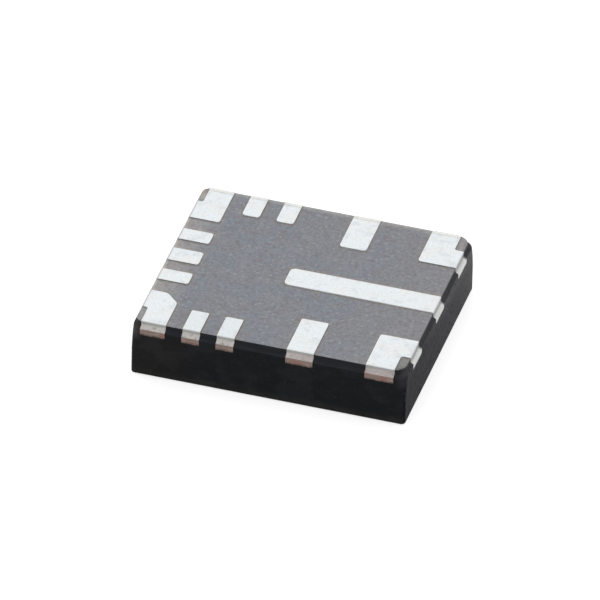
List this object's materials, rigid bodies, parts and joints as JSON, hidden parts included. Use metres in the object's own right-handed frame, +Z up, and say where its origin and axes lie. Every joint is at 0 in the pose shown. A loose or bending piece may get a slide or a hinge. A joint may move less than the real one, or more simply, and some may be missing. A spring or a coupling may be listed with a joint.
{
  "type": "dc-dc controller chip",
  "caption": "Flat leadless power chip lying pads up: black moulded block, tin-plated pads along its edges, a long centre pad, and step-cut flanks with bare copper ends.",
  "frame": {"origin": "centre of the flat back face on which the chip lies, at the height of that face", "axes": "+Z up, out of the soldering pads; +X along the long side, towards the end where the long centre pad leaves the body; +Y across, so that lead 1, the chamfered corner pad, is at -X -Y and the leads are counted clockwise as seen from the pads"},
  "size_m": [0.004, 0.0034, 0.0009],
  "materials": {
    "moulding_compound": "matte black moulding compound with a fine grain, greyer on the moulded pad face than on the sawn sides",
    "tinned_lead": "copper lead with matte tin on its pad and in the step, bare copper where it was sawn",
    "silicon": "dark polished silicon",
    "bump_copper": "plated copper",
    "solder": "tin-silver solder, satin"
  },
  "bodies": {
    "root": {"mould_body": "moulding_compound", "silicon_die": "silicon", "lead_01_corner_keyed": "tinned_lead", "lead_02_signal": "tinned_lead", "lead_03_signal": "tinned_lead", "lead_04_signal": "tinned_lead", "lead_05_corner": "tinned_lead", "lead_06_signal": "tinned_lead", "lead_07_signal": "tinned_lead", "lead_08_power": "tinned_lead", "lead_09_corner": "tinned_lead", "lead_10_centre_bar": "tinned_lead", "lead_11_corner": "tinned_lead", "lead_12_power": "tinned_lead", "lead_13_signal": "tinned_lead", "lead_14_signal": "tinned_lead", "copper_pillar_01_a": "bump_copper", "copper_pillar_02_a": "bump_copper", "copper_pillar_03_a": "bump_copper", "copper_pillar_04_a": "bump_copper", "copper_pillar_05_a": "bump_copper", "copper_pillar_06_a": "bump_copper", "copper_pillar_07_a": "bump_copper", "copper_pillar_08_a": "bump_copper", "copper_pillar_08_b": "bump_copper", "copper_pillar_09_a": "bump_copper", "copper_pillar_09_b": "bump_copper", "copper_pillar_10_a": "bump_copper", "copper_pillar_10_b": "bump_copper", "copper_pillar_10_c": "bump_copper", "copper_pillar_10_d": "bump_copper", "copper_pillar_10_e": "bump_copper", "copper_pillar_11_a": "bump_copper", "copper_pillar_11_b": "bump_copper", "copper_pillar_12_a": "bump_copper", "copper_pillar_12_b": "bump_copper", "copper_pillar_13_a": "bump_copper", "copper_pillar_14_a": "bump_copper", "solder_cap_01_a": "solder", "solder_cap_02_a": "solder", "solder_cap_03_a": "solder", "solder_cap_04_a": "solder", "solder_cap_05_a": "solder", "solder_cap_06_a": "solder", "solder_cap_07_a": "solder", "solder_cap_08_a": "solder", "solder_cap_08_b": "solder", "solder_cap_09_a": "solder", "solder_cap_09_b": "solder", "solder_cap_10_a": "solder", "solder_cap_10_b": "solder", "solder_cap_10_c": "solder", "solder_cap_10_d": "solder", "solder_cap_10_e": "solder", "solder_cap_11_a": "solder", "solder_cap_11_b": "solder", "solder_cap_12_a": "solder", "solder_cap_12_b": "solder", "solder_cap_13_a": "solder", "solder_cap_14_a": "solder"}
  },
  "joints": []
}
